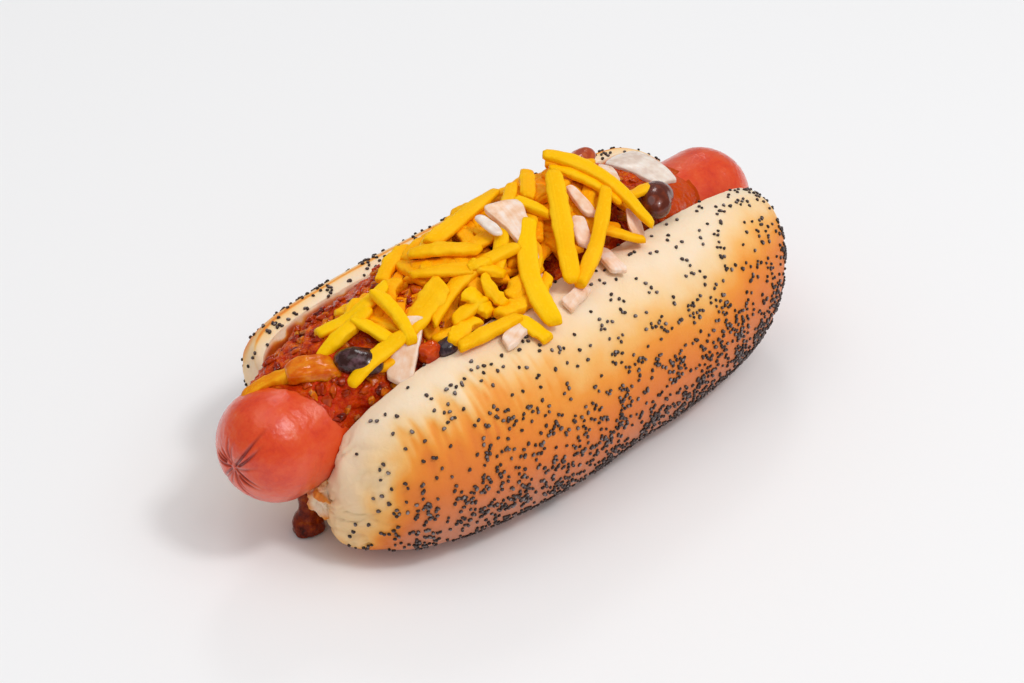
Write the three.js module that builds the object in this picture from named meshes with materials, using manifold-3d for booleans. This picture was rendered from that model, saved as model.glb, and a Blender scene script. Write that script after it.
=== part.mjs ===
// A chili cheese dog: a steamed sausage in an opened poppy-seed bun, with chili, beans, onion and cheese.
// Millimetres, +Z up. +X runs from the near end of the sausage to its far end, and +Y to the bun's back lobe.
// The origin is on the table, under the middle of the bun.
import * as THREE from 'three';
import { mergeVertices } from 'three/addons/utils/BufferGeometryUtils.js';
import Module from 'manifold-3d';

// Driving dimensions of the sausage.
const SAUSAGE_RADIUS = 12.5;
const SAUSAGE_HEIGHT = 27;
const SAUSAGE_CYLINDER = 142;
const SAUSAGE_CAP = 11.8;
const PUCKER_RADIUS = 3;
const PUCKER_DEPTH = 1;

// Driving dimensions of the bun. The section of each lobe is drawn as (y, z) points, from hinge to rim.
const HINGE_LENGTH = 130;
const BUN_MIDDLE = 4.5;
const BUN_END_HEIGHT = 9;
const FRONT_CRUST = [
  [0, -0.6], [13, -0.9], [26, -0.6], [35.2, 3.2], [40.7, 12.5],
  [42, 23], [39.6, 33.5], [33.5, 41.5], [25, 45.3], [18.5, 44.8],
];
const FRONT_CRUMB = [[0, 13.6], [7.5, 15.3], [12.4, 20], [14.4, 28], [14.8, 35], [15.8, 41.3], [18.5, 44.8]];
const BACK_CRUST = [
  [0, -0.6], [12, -0.9], [22, -0.4], [30, 4], [35, 12.5],
  [36.3, 21], [34.5, 28.5], [30.2, 33.8], [25.8, 37.6], [21.5, 37.6],
];
const BACK_CRUMB = [[0, 13.6], [7.5, 15.3], [13, 20], [16.5, 27], [18.8, 33], [21.5, 37.6]];

// Each lobe passes the hinge at its near and far end by its reach, and leans outwards above the lean height.
// Its middle and its skin close there, each with its own bluntness.
const FRONT_ENDS = [
  { reach: 7.5, lean: -0.05, bluntMiddle: 3.6, bluntSkin: 3 },
  { reach: 3.8, lean: 0.28, bluntMiddle: 4.2, bluntSkin: 3 },
];
const BACK_ENDS = [
  { reach: -2, lean: 0.3, bluntMiddle: 7, bluntSkin: 6 },
  { reach: 6, lean: 0.14, bluntMiddle: 4.4, bluntSkin: 3.6 },
];
const LEAN_HEIGHT = 24;
const HINGE_HALF_WIDTH = 15;

// Of the way round a lobe's section, the crust takes this share. The middle of a lobe ends below its rim.
const CRUST_SHARE = 0.64;
const MIDDLE_END = 0.78;

// Poppy seeds, with their half sizes. They keep off the table and off the rim, where the toppings lie.
const SEED_COUNT = 150;
const SEED_SIZE = [0.75, 0.65, 0.65];
const SEED_SINK = 0.15;
const SEED_SPACING = 5.2;
const SEED_LOWEST = 2;
const SEED_HIGHEST_RISE = 0.82;
const SEED_FRONT_SHARE = 0.62;

// The toppings lie on a ridge along the sausage, given as (x, z) points and falling off to both sides.
const HEAP_RIDGE = [
  [-76, 39], [-66, 41.5], [-60, 43], [-50, 47], [-40, 51], [-18, 56.5],
  [0, 58], [18, 60], [33, 56], [45, 48], [70, 42],
];
const CHILI_RIDGE = [
  [-70, 40], [-60, 42.6], [-50, 45], [-40, 46.5], [-20, 48.5],
  [20, 50], [40, 47.5], [52, 44], [64, 40],
];
const FRONT_FALL = 0.022;
const BACK_FALL = 0.04;

// The chili reaches down between the sausage and the bun. Its near edge is slanted: further out at the back.
const CHILI_MIDDLE = -3.5;
const CHILI_HALF_LENGTH = 63;
const CHILI_HALF_WIDTH = 19;
const CHILI_FLOOR = 24;
const CHILI_SLANT = 0.6;

// The drip's place on the table, and its outline as (radius, height) points.
const DRIP_PLACE = [-64, -1.7];
const DRIP_OUTLINE = [
  [0, 0.3], [3.9, 0.3], [4.4, 1.6], [4, 4], [2.6, 6.2],
  [2.2, 9], [2.6, 13], [2.4, 17], [0, 18],
];

// Neighbouring pieces keep this gap.
const GAP = 0.35;

// The heap's low core of cheese lies this far under the top of the shreds.
const CORE_MIDDLE = [-9, -3];
const CORE_HALF = [44, 17, 3.5];
const CORE_DEPTH = 2.2;

// Each shred of cheese runs between two (x, y) places, bends sideways by its bow, and is raised by its lift.
const SHRED_THICKNESS = 3.2;
const SHREDS = [
  { from: [-22, 2], to: [3, 6], width: 4.2, lift: 0, bow: 0 },
  { from: [-27, 4], to: [-16, -8], width: 4.2, lift: 0.5, bow: 0 },
  { from: [-31, -1], to: [-21, -10], width: 3.8, lift: 0, bow: 0 },
  { from: [-36, -13], to: [-9, -12], width: 3.9, lift: 1, bow: 3 },
  { from: [-2, -9], to: [-17, -31], width: 4.7, lift: 1.5, bow: -2.5 },
  { from: [12, -3], to: [-6, -26], width: 4.5, lift: 2.5, bow: 0 },
  { from: [19, -13], to: [-5, -27], width: 3.5, lift: 2, bow: 1 },
  { from: [15, 3], to: [23, -24], width: 3.9, lift: 3, bow: 3 },
  { from: [14, 0], to: [21, -16], width: 2.8, lift: 1, bow: 1 },
  { from: [11, -17], to: [20, -24], width: 3.2, lift: 0.5, bow: 0 },
  { from: [25, -14], to: [37, -12], width: 3, lift: 0, bow: 0 },
  { from: [6, 4], to: [-3, -3], width: 3.2, lift: 0, bow: 0 },
  { from: [12, 5], to: [4, -3], width: 3.7, lift: 0, bow: 0 },
  { from: [1, -2], to: [4, -10], width: 3, lift: 0.5, bow: 0 },
  { from: [-9, 9], to: [-5, 5], width: 3.8, lift: 0, bow: 0 },
  { from: [-28, -8], to: [-42, -11], width: 6, lift: 0, bow: 0 },
  { from: [-53, 5], to: [-36, 1], width: 3.7, lift: 0.5, bow: -2 },
  { from: [-57, 0], to: [-43, -1], width: 3.7, lift: 0, bow: 0 },
  { from: [-47, 0], to: [-45, -12], width: 3.2, lift: 1, bow: 0 },
  { from: [-41, 0], to: [-43, -14], width: 3, lift: 2, bow: 1 },
  { from: [-58, -11], to: [-43, -12], width: 3.7, lift: 1, bow: 1 },
  { from: [-37, -22], to: [-22, -25], width: 3.4, lift: 0.5, bow: 0 },
  { from: [-22, -24], to: [-20, -32], width: 3.8, lift: 0, bow: 0 },
  { from: [-38, -15], to: [-30, -18], width: 3.4, lift: 0, bow: 0 },
  { from: [-19, -20], to: [-5, -15], width: 2.8, lift: 0, bow: -1 },
  { from: [-32, -15], to: [-23, -16], width: 3.4, lift: 0, bow: 0 },
  { from: [-34, 5], to: [-22, 9], width: 3.6, lift: -1, bow: 1 },
  { from: [-13, 10], to: [6, 10], width: 3.6, lift: -2, bow: -1 },
  { from: [-16, -13], to: [-6, -5], width: 3.4, lift: -0.5, bow: 0 },
  { from: [18, 5], to: [30, 0], width: 3.4, lift: -1, bow: 0 },
];
const LOOSE_SHRED = { from: [-73, 7], to: [-61, -1], width: 2.6, lift: 0.5, bow: 1 };

// Each piece of onion is a curved flake at an (x, y) place, as long and wide as given, turned in plan.
const ONION_THICKNESS = 2;
const ONION_CURVE = 0.02;
const ONION_CORNERS = [[-0.5, -0.12], [-0.22, -0.46], [0.3, -0.4], [0.5, 0.05], [0.2, 0.48], [-0.3, 0.38]];
const ONIONS = [
  { at: [-5, -8], size: [15, 9], turn: 75, lift: 0 },
  { at: [-10.5, -5], size: [8, 4.5], turn: 100, lift: 1 },
  { at: [-43.5, -13.5], size: [13, 8], turn: 0, lift: 0 },
  { at: [13, -11], size: [8, 5], turn: 95, lift: -1 },
  { at: [7.5, -16], size: [6, 4], turn: 60, lift: -0.5 },
  { at: [9, -23.5], size: [11, 6], turn: 80, lift: -1 },
  { at: [22, -19.5], size: [7, 4.5], turn: 60, lift: -1.5 },
  { at: [47, -2], size: [17, 9], turn: 88, lift: -0.5 },
  { at: [-10, -19.5], size: [6, 4], turn: 50, lift: -1 },
  { at: [-25.5, -27.5], size: [8, 5], turn: 15, lift: -0.8 },
  { at: [-6, -27.5], size: [9, 5], turn: 10, lift: -0.8 },
  { at: [29, -5], size: [7, 5], turn: 60, lift: -2 },
];

// Each bean, or chunk of tomato, is a rounded lump at an (x, y) place with its three half sizes.
const LUMPS = [
  { name: 'bean_1', at: [-52.5, -7.5], half: [5.6, 3.8, 3], turn: -60, lift: -2.6, colour: 0x4a2a30 },
  { name: 'bean_2', at: [34.5, -15], half: [6.4, 4.4, 3.6], turn: 35, lift: -2.6, colour: 0x4a1d14 },
  { name: 'bean_3', at: [-35, -17.5], half: [4.6, 2.8, 2.4], turn: 20, lift: -2.4, colour: 0x33242b },
  { name: 'bean_4', at: [28, 3], half: [4.6, 3, 2.6], turn: 60, lift: -2.4, colour: 0x7a3e24 },
  { name: 'tomato_1', at: [-59.5, -1.5], half: [5.2, 3.8, 2.2], turn: -35, lift: -1, colour: 0xc26a12 },
  { name: 'tomato_2', at: [-40, -16.5], half: [2.6, 2, 2.2], turn: 0, lift: -2, colour: 0xc23a12 },
];

const wasm = await Module();
wasm.setup();
const group = new THREE.Group();

// A closed geometry with only its positions, shared by the faces that meet there.
function shared(geometry) {
  const bare = geometry.clone();
  bare.deleteAttribute('normal');
  bare.deleteAttribute('uv');
  return mergeVertices(bare, 1e-4);
}

// A closed three.js geometry as a solid that can be joined and cut.
function solidOf(geometry) {
  const merged = shared(geometry);
  const mesh = new wasm.Mesh({
    numProp: 3,
    vertProperties: merged.attributes.position.array,
    triVerts: new Uint32Array(merged.index.array),
  });
  return new wasm.Manifold(mesh);
}

// The three.js geometry of a solid.
function geometryOf(solid) {
  const mesh = solid.getMesh();
  const geometry = new THREE.BufferGeometry();
  geometry.setAttribute('position', new THREE.BufferAttribute(new Float32Array(mesh.vertProperties), 3));
  geometry.setIndex(new THREE.BufferAttribute(new Uint32Array(mesh.triVerts), 1));
  return geometry;
}

// Puts each vertex of a geometry where the rule sends it.
function mapped(geometry, rule) {
  const position = geometry.attributes.position;
  const point = new THREE.Vector3();
  for (let i = 0; i < position.count; i += 1) {
    point.fromBufferAttribute(position, i);
    const placed = rule(point);
    position.setXYZ(i, placed.x, placed.y, placed.z);
  }
  return geometry;
}

// The same shape, thicker all over by the gap that neighbouring pieces keep.
function grown(geometry) {
  const merged = shared(geometry);
  merged.computeVertexNormals();
  const { position, normal } = merged.attributes;
  const point = new THREE.Vector3();
  const outward = new THREE.Vector3();
  for (let i = 0; i < position.count; i += 1) {
    outward.fromBufferAttribute(normal, i);
    point.fromBufferAttribute(position, i).addScaledVector(outward, GAP);
    position.setXYZ(i, point.x, point.y, point.z);
  }
  return solidOf(merged);
}

// Of the bodies that a cut leaves, the largest is kept.
function largestBody(solid) {
  const bodies = solid.decompose();
  bodies.sort((one, other) => other.volume() - one.volume());
  return bodies[0];
}

function addPiece(name, geometry, colour, roughness) {
  const material = new THREE.MeshStandardMaterial({ color: colour, roughness, metalness: 0 });
  const mesh = new THREE.Mesh(geometry, material);
  mesh.name = name;
  group.add(mesh);
}

// A number from 0 to 1 that looks random and is the same each time.
let randomState = 7;
function random() {
  randomState = (randomState * 16807) % 2147483647;
  return randomState / 2147483647;
}

// The height of a ridge at x, between its listed points.
function ridgeHeight(ridge, x) {
  if (x <= ridge[0][0]) return ridge[0][1];
  for (let i = 1; i < ridge.length; i += 1) {
    const [x0, z0] = ridge[i - 1];
    const [x1, z1] = ridge[i];
    if (x <= x1) return z0 + (z1 - z0) * THREE.MathUtils.smoothstep(x, x0, x1);
  }
  return ridge[ridge.length - 1][1];
}

// The height of the bun's crust at a place beside its rim, or 0 where there is none.
function crustTop(x, y) {
  const steps = 24;
  const halfLength = HINGE_LENGTH / 2 + FRONT_ENDS[0].reach;
  const lengthwise = THREE.MathUtils.clamp((x - BUN_MIDDLE) / halfLength, -1, 1);
  const lobe = y < 0 ? frontLobe : backLobe;
  for (let i = 0; i < steps; i += 1) {
    const inner = bunPoint(lobe, lengthwise, (1 - (0.5 * i) / steps) * CRUST_SHARE);
    const outer = bunPoint(lobe, lengthwise, (1 - (0.5 * (i + 1)) / steps) * CRUST_SHARE);
    if (Math.abs(y) >= Math.abs(inner.y) && Math.abs(y) < Math.abs(outer.y)) {
      return THREE.MathUtils.mapLinear(Math.abs(y), Math.abs(inner.y), Math.abs(outer.y), inner.z, outer.z);
    }
  }
  return 0;
}

// The top of the heap of toppings, which also lie over the bun's rim, and the top of the chili under them.
function heapTop(x, y) {
  const fall = y < 0 ? FRONT_FALL : BACK_FALL;
  return Math.max(ridgeHeight(HEAP_RIDGE, x) - fall * y ** 2, crustTop(x, y) + SHRED_THICKNESS);
}

function chiliTop(x, y) {
  return ridgeHeight(CHILI_RIDGE, x) - FRONT_FALL * y ** 2;
}

// Rounds a unit sphere's coordinate off towards a box: a higher power gives squarer ends.
function squared(value, power) {
  return Math.sign(value) * Math.abs(value) ** (2 / power);
}

// The sausage is turned on its own axis, with a small pucker in each rounded end.
function sausageGeometry(extra) {
  const capSteps = 8;
  const half = SAUSAGE_CYLINDER / 2;
  const radius = SAUSAGE_RADIUS + extra;
  const cap = SAUSAGE_CAP + extra;
  const nearCap = [];
  for (let i = 0; i <= capSteps; i += 1) {
    const angle = (i / capSteps) * (Math.PI / 2);
    const across = radius * Math.sin(angle);
    const dimple = PUCKER_DEPTH * Math.exp(-((across / PUCKER_RADIUS) ** 2));
    nearCap.push(new THREE.Vector2(across, half + cap * Math.cos(angle) - dimple));
  }
  const farCap = nearCap.map((point) => new THREE.Vector2(point.x, -point.y)).reverse();
  const profile = [...nearCap, ...farCap].reverse();
  const geometry = new THREE.LatheGeometry(profile, 32);
  geometry.rotateZ(-Math.PI / 2);
  geometry.translate(0, 0, SAUSAGE_HEIGHT);
  return geometry;
}

// The bun's section as smooth curves from the hinge to the rim: crust outside and crumb inside.
function sectionCurve(points) {
  return new THREE.SplineCurve(points.map(([y, z]) => new THREE.Vector2(y, z)));
}

function makeLobe(side, crust, crumb, ends) {
  return { side, crust: sectionCurve(crust), crumb: sectionCurve(crumb), ends };
}
const frontLobe = makeLobe(-1, FRONT_CRUST, FRONT_CRUMB, FRONT_ENDS);
const backLobe = makeLobe(1, BACK_CRUST, BACK_CRUMB, BACK_ENDS);

// A place on a lobe: lengthwise from -1 to 1, and round the section from 0 at the hinge's underside, over the
// rim, to 1 at the bottom of the groove. Towards the ends the section shrinks, first slowly and then fast.
function bunPoint(lobe, lengthwise, round) {
  const onCrust = round < CRUST_SHARE;
  const rise = onCrust ? round / CRUST_SHARE : (1 - round) / (1 - CRUST_SHARE);
  const outline = onCrust ? lobe.crust.getPoint(rise) : lobe.crumb.getPoint(rise);
  const core = Math.min(rise, MIDDLE_END);
  const middle = lobe.crust.getPoint(core).add(lobe.crumb.getPoint(core)).multiplyScalar(0.5);
  const { reach, lean, bluntMiddle, bluntSkin } = lobe.ends[lengthwise < 0 ? 0 : 1];
  const spread = (1 - Math.abs(lengthwise) ** bluntMiddle) ** (1 / bluntMiddle);
  const thick = (1 - Math.abs(lengthwise) ** bluntSkin) ** (1 / bluntSkin);
  const y = middle.x * spread + (outline.x - middle.x) * thick;
  const z = BUN_END_HEIGHT + (middle.y - BUN_END_HEIGHT) * spread + (outline.y - middle.y) * thick;
  const passing = lengthwise ** 3 * Math.min(1, y / HINGE_HALF_WIDTH) * (reach + lean * (z - LEAN_HEIGHT));
  const x = BUN_MIDDLE + (lengthwise * HINGE_LENGTH) / 2 + passing;
  return new THREE.Vector3(x, lobe.side * y, Math.max(z, 0));
}

function bunGeometry() {
  const geometry = new THREE.SphereGeometry(1, 40, 28);
  geometry.rotateZ(-Math.PI / 2);
  return mapped(geometry, (point) => {
    const lengthwise = squared(THREE.MathUtils.clamp(point.x, -1, 1), 2.8);
    const turn = Math.atan2(Math.abs(point.y), -point.z);
    return bunPoint(point.y < 0 ? frontLobe : backLobe, lengthwise, turn / Math.PI);
  });
}

// Poppy seeds are sparse near the rim and thick on the lower half of the crust, and lie half sunk in it.
function seedSolids() {
  const seeds = [];
  const places = [];
  while (seeds.length < SEED_COUNT) {
    const lengthwise = 1.9 * random() - 0.95;
    const rise = 0.2 + 0.78 * random();
    const lobe = random() < SEED_FRONT_SHARE ? frontLobe : backLobe;
    const keep = random();
    const point = bunPoint(lobe, lengthwise, rise * CRUST_SHARE);
    const along = bunPoint(lobe, lengthwise + 0.01, rise * CRUST_SHARE).sub(point);
    const up = bunPoint(lobe, lengthwise, (rise + 0.01) * CRUST_SHARE).sub(point);
    const outward = new THREE.Vector3().crossVectors(along, up).multiplyScalar(-lobe.side).normalize();
    const inBand = point.z > SEED_LOWEST && rise < SEED_HIGHEST_RISE;
    const wanted = keep < 1.1 - point.z / 60;
    const apart = places.every((other) => other.distanceTo(point) > SEED_SPACING);
    if (inBand && wanted && apart) {
      const seed = new THREE.OctahedronGeometry(1, 0);
      seed.scale(...SEED_SIZE);
      seed.applyQuaternion(new THREE.Quaternion().setFromUnitVectors(new THREE.Vector3(0, 0, 1), outward));
      seed.translate(...point.clone().addScaledVector(outward, -SEED_SINK).toArray());
      seeds.push(solidOf(seed));
      places.push(point);
    }
  }
  return seeds;
}

// The chili fills the space between the bun's walls, over the sausage.
function chiliGeometry() {
  const geometry = new THREE.SphereGeometry(1, 28, 20);
  geometry.rotateZ(-Math.PI / 2);
  return mapped(geometry, (point) => {
    const y = CHILI_HALF_WIDTH * squared(point.y, 3);
    const slant = point.x < 0 ? CHILI_SLANT * y * point.x ** 2 : 0;
    const x = CHILI_MIDDLE + CHILI_HALF_LENGTH * squared(point.x, 2.8) - slant;
    const top = chiliTop(x, y);
    const middle = THREE.MathUtils.lerp(CHILI_FLOOR, top, 0.7);
    const height = squared(point.z, 3.4);
    const z = THREE.MathUtils.lerp(middle, height > 0 ? top : CHILI_FLOOR, Math.abs(height));
    return new THREE.Vector3(x, y, z);
  });
}

// A drip runs off the near end and stands on the table as a thick drop.
function dripGeometry() {
  const geometry = new THREE.LatheGeometry(DRIP_OUTLINE.map(([r, z]) => new THREE.Vector2(r, z)), 14);
  geometry.rotateX(Math.PI / 2);
  geometry.translate(...DRIP_PLACE, 0);
  return geometry;
}

// A shred of cheese is a bar that follows the heap from end to end, bent sideways by its bow.
function shredGeometry({ from, to, width, lift, bow }) {
  const start = new THREE.Vector2(...from);
  const end = new THREE.Vector2(...to);
  const along = end.clone().sub(start);
  const sideways = new THREE.Vector2(-along.y, along.x).normalize();
  const bar = new THREE.BoxGeometry(1, width, SHRED_THICKNESS, 3, 1, 1);
  return mapped(bar, (point) => {
    const share = point.x + 0.5;
    const curve = bow * 4 * share * (1 - share);
    const place = start.clone().addScaledVector(along, share).addScaledVector(sideways, curve + point.y);
    const line = start.clone().addScaledVector(along, share);
    const chord = heapTop(...from) * (1 - share) + heapTop(...to) * share;
    const drape = 0.5 * (heapTop(line.x, line.y) - chord);
    const rise = chord + drape + lift - SHRED_THICKNESS / 2;
    return new THREE.Vector3(place.x, place.y, rise + point.z);
  });
}

// A flake of onion is a six-sided slice of a layer, hollowed like the layer that it was cut from.
function onionGeometry({ at, size, turn, lift }) {
  const [long, wide] = size;
  const outline = new THREE.Shape();
  outline.setFromPoints(ONION_CORNERS.map(([u, v]) => new THREE.Vector2(u * long, v * wide)));
  const flake = new THREE.ExtrudeGeometry(outline, { depth: ONION_THICKNESS, bevelEnabled: false });
  flake.rotateZ(THREE.MathUtils.degToRad(turn));
  const [x, y] = at;
  const slopeX = (heapTop(x + 1, y) - heapTop(x - 1, y)) / 2;
  const slopeY = (heapTop(x, y + 1) - heapTop(x, y - 1)) / 2;
  const base = heapTop(x, y) + lift - ONION_THICKNESS;
  return mapped(flake, (point) => new THREE.Vector3(
    x + point.x,
    y + point.y,
    base + point.z + slopeX * point.x + slopeY * point.y - ONION_CURVE * (point.x ** 2 + point.y ** 2),
  ));
}

function lumpGeometry({ at, half, turn, lift }) {
  const [x, y] = at;
  const lump = new THREE.IcosahedronGeometry(1, 2);
  lump.scale(...half);
  lump.rotateZ(THREE.MathUtils.degToRad(turn));
  lump.translate(x, y, heapTop(x, y) + lift);
  return lump;
}

// The bun with its seeds, clear of the sausage.
const sausage = sausageGeometry(0);
const sausageRoom = solidOf(sausageGeometry(GAP));
const bun = bunGeometry();
const bunRoom = grown(bun);
let bunSolid = solidOf(bun).subtract(sausageRoom);
for (const seed of seedSolids()) bunSolid = bunSolid.add(seed);
addPiece('bun', geometryOf(largestBody(bunSolid)), 0xecb878, 0.65);
addPiece('sausage', sausage, 0xd8583c, 0.35);

// The beans and tomato sit in the chili, which is cut round them.
let filled = bunRoom.add(sausageRoom);
for (const lump of LUMPS) {
  const geometry = lumpGeometry(lump);
  addPiece(lump.name, geometryOf(largestBody(solidOf(geometry).subtract(filled))), lump.colour, 0.3);
  filled = filled.add(grown(geometry));
}
const chili = largestBody(solidOf(chiliGeometry()).subtract(filled));
addPiece('chili', geometryOf(chili), 0x8a3214, 0.25);
const drip = largestBody(solidOf(dripGeometry()).subtract(filled));
addPiece('chili_drip', geometryOf(drip), 0x7c3014, 0.25);
filled = filled.add(grown(chiliGeometry()));

// The onion lies on the chili and on the bun's rim.
ONIONS.forEach((onion, i) => {
  const geometry = onionGeometry(onion);
  const flake = largestBody(solidOf(geometry).subtract(filled));
  addPiece(`onion_${i + 1}`, geometryOf(flake), 0xecd8d2, 0.4);
  filled = filled.add(flake).add(grown(geometry));
});

// The cheese is a heap: a low core with the shreds on it, and one loose shred on the sausage.
function cheeseCore() {
  const geometry = new THREE.SphereGeometry(1, 16, 10);
  geometry.rotateZ(-Math.PI / 2);
  return mapped(geometry, (point) => {
    const x = CORE_MIDDLE[0] + CORE_HALF[0] * squared(point.x, 2.6);
    const y = CORE_MIDDLE[1] + CORE_HALF[1] * squared(point.y, 2.6);
    const height = CORE_HALF[2] * (squared(point.z, 2.6) - 1);
    return new THREE.Vector3(x, y, heapTop(x, y) - CORE_DEPTH + height);
  });
}
let cheese = solidOf(cheeseCore());
for (const shred of SHREDS) cheese = cheese.add(solidOf(shredGeometry(shred)));
addPiece('cheese', geometryOf(largestBody(cheese.subtract(filled))), 0xf2b40c, 0.5);
filled = filled.add(cheese);
const loose = largestBody(solidOf(shredGeometry(LOOSE_SHRED)).subtract(filled));
addPiece('cheese_loose', geometryOf(loose), 0xe89a1a, 0.4);

export default group;
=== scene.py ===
# A chili cheese dog in a poppy-seed bun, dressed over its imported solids.
# Lengths are millimetres until a piece is finished, which turns them to metres. +X runs from the near end of
# the sausage to its far end, +Y to the bun's back lobe, and the table is at z = 0.
import math
import random
from collections import namedtuple
from functools import lru_cache

import bmesh
import bpy
import numpy as np
from mathutils import Matrix, Quaternion, Vector, noise
from mathutils.bvhtree import BVHTree


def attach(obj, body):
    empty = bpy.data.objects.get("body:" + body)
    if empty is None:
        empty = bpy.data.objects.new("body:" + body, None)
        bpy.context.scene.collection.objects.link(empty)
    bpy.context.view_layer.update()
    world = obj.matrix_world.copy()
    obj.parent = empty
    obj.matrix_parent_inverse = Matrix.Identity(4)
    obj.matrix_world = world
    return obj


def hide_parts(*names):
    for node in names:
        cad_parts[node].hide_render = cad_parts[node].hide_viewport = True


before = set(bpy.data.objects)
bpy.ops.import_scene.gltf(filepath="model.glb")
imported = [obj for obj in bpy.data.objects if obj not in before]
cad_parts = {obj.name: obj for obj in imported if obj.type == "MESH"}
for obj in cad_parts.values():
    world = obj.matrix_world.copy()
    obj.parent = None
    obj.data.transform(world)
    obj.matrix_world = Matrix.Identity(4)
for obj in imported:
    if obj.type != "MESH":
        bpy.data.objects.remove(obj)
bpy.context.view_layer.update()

# The vector noise takes its offsets from a seed, which would otherwise be the clock's.
NOISE_SEED = 1
noise.seed_set(NOISE_SEED)

# The bun
# A soft roll of wheat dough, baked with an egg wash, split along its top and opened round the sausage.
# Its skin is one sphere with a pole at each end of the bun: every ring runs out under a lobe, up its crust,
# over the rim and down the crumb of the cut into the groove.
MM = 0.001
HINGE_LENGTH = 130
BUN_MIDDLE = 4.5
BUN_END_HEIGHT = 9
CRUST_SHARE = 0.64
MIDDLE_END = 0.78
LEAN_HEIGHT = 24
HINGE_HALF_WIDTH = 15
FAR_DOME = 2.4
FRONT_LOBE = {
    "side": -1,
    "crust": [
        (0, -0.6), (13, -0.9), (26, -0.6), (35.2, 3.2), (40.7, 12.5),
        (42, 23), (39.6, 33.5), (33.5, 41.5), (25, 45.3), (18.5, 44.8),
    ],
    "crumb": [(0, 13.6), (7.5, 15.3), (12.4, 20), (14.4, 28), (14.8, 35), (15.8, 41.3), (18.5, 44.8)],
    "near": {"reach": 7.5, "lean": -0.05, "blunt_middle": 3.6, "blunt_skin": 3},
    "far": {"reach": 3.8, "lean": 0.28, "blunt_middle": 4.2, "blunt_skin": 3},
}
BACK_LOBE = {
    "side": 1,
    "crust": [
        (0, -0.6), (12, -0.9), (22, -0.4), (30, 4), (35, 12.5),
        (36.3, 21), (34.5, 28.5), (30.2, 33.8), (25.8, 37.6), (21.5, 37.6),
    ],
    "crumb": [(0, 13.6), (7.5, 15.3), (13, 20), (16.5, 27), (18.8, 33), (21.5, 37.6)],
    "near": {"reach": -2, "lean": 0.3, "blunt_middle": 7, "blunt_skin": 6},
    "far": {"reach": 6, "lean": 0.14, "blunt_middle": 4.4, "blunt_skin": 3.6},
}
BACK_LINE = 0.9
SAUSAGE_RADIUS = 12.5
SAUSAGE_HEIGHT = 27
CLEARED_X = 76
LIFTED = (0.2, 4)


def hex_colour(text):
    """An sRGB hex colour in the linear values that Blender's sockets take."""
    channels = [int(text[i : i + 2], 16) / 255 for i in (1, 3, 5)]
    linear = [c / 12.92 if c <= 0.04045 else ((c + 0.055) / 1.055) ** 2.4 for c in channels]
    return (*linear, 1)


def add_node(tree, kind, settings=None, values=None, links=None, stops=None):
    """Adds a node with its settings, socket values, links from sockets or first outputs, and ramp stops."""
    node = tree.nodes.new(kind)
    for name, value in (settings or {}).items():
        setattr(node, name, value)
    for name, value in (values or {}).items():
        node.inputs[name].default_value = value
    for name, source in (links or {}).items():
        socket = source.outputs[0] if isinstance(source, bpy.types.Node) else source
        tree.links.new(socket, node.inputs[name])
    for i, (place, colour) in enumerate(stops or ()):
        elements = node.color_ramp.elements
        element = elements[i] if i < 2 else elements.new(place)
        element.position = place
        element.color = hex_colour(colour) if isinstance(colour, str) else (colour, colour, colour, 1)
    return node


def new_material(name):
    """An empty node material, its tree, and the object coordinates that its patterns follow."""
    material = bpy.data.materials.new(name)
    material.use_nodes = True
    tree = material.node_tree
    tree.nodes.clear()
    return material, tree, add_node(tree, "ShaderNodeTexCoord").outputs["Object"]


def finish_material(tree, values, links):
    """Ends a material with the shader that its look goes into, and the output."""
    shader = add_node(tree, "ShaderNodeBsdfPrincipled", values=values, links=links)
    add_node(tree, "ShaderNodeOutputMaterial", links={"Surface": shader})


def recoloured(material, name, colours):
    """A copy of a material whose first ramp has other colours."""
    copy = material.copy()
    copy.name = name
    ramp = next(node for node in copy.node_tree.nodes if node.type == "VALTORGB")
    for element, colour in zip(ramp.color_ramp.elements, colours):
        element.color = hex_colour(colour)
    return copy


def finish_piece(name, shape, material, nodes=()):
    """Turns a bmesh in millimetres to a smooth piece in metres that rides on the part."""
    bmesh.ops.recalc_face_normals(shape, faces=shape.faces)
    bmesh.ops.scale(shape, vec=(MM, MM, MM), verts=shape.verts)
    for face in shape.faces:
        face.smooth = True
    mesh = bpy.data.meshes.new(name)
    shape.to_mesh(mesh)
    shape.free()
    mesh.materials.append(material)
    piece = bpy.data.objects.new(name, mesh)
    bpy.context.collection.objects.link(piece)
    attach(piece, "root")
    if nodes:
        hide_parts(*nodes)
    return piece


def add_shape(whole, part):
    """Adds a small bmesh, and what its layers hold, to the bmesh of a whole piece."""
    mesh = bpy.data.meshes.new("part")
    part.to_mesh(mesh)
    part.free()
    whole.from_mesh(mesh)
    bpy.data.meshes.remove(mesh)


def smooth_step(value, low, high):
    """0 at low, 1 at high, and smooth between them. Low may be the greater."""
    share = min(max((value - low) / (high - low), 0), 1)
    return share * share * (3 - 2 * share)


def ring_share(vert):
    """How far up a unit sphere a place is, from 0 at the lower pole to 1 at the upper pole."""
    return math.acos(min(max(-vert.co.z, -1), 1)) / math.pi


def curve_point(points, share):
    """A place on the smooth curve through the points, from 0 at its start to 1 at its end."""
    place = (len(points) - 1) * min(max(share, 0), 1)
    i = min(int(place), len(points) - 2)
    t = place - i
    start, end = Vector(points[i]), Vector(points[i + 1])
    leave = (end - Vector(points[max(i - 1, 0)])) / 2
    arrive = (Vector(points[min(i + 2, len(points) - 1)]) - start) / 2
    cubic = 2 * start - 2 * end + leave + arrive
    square = 3 * end - 3 * start - 2 * leave - arrive
    return ((cubic * t + square) * t + leave) * t + start


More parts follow.
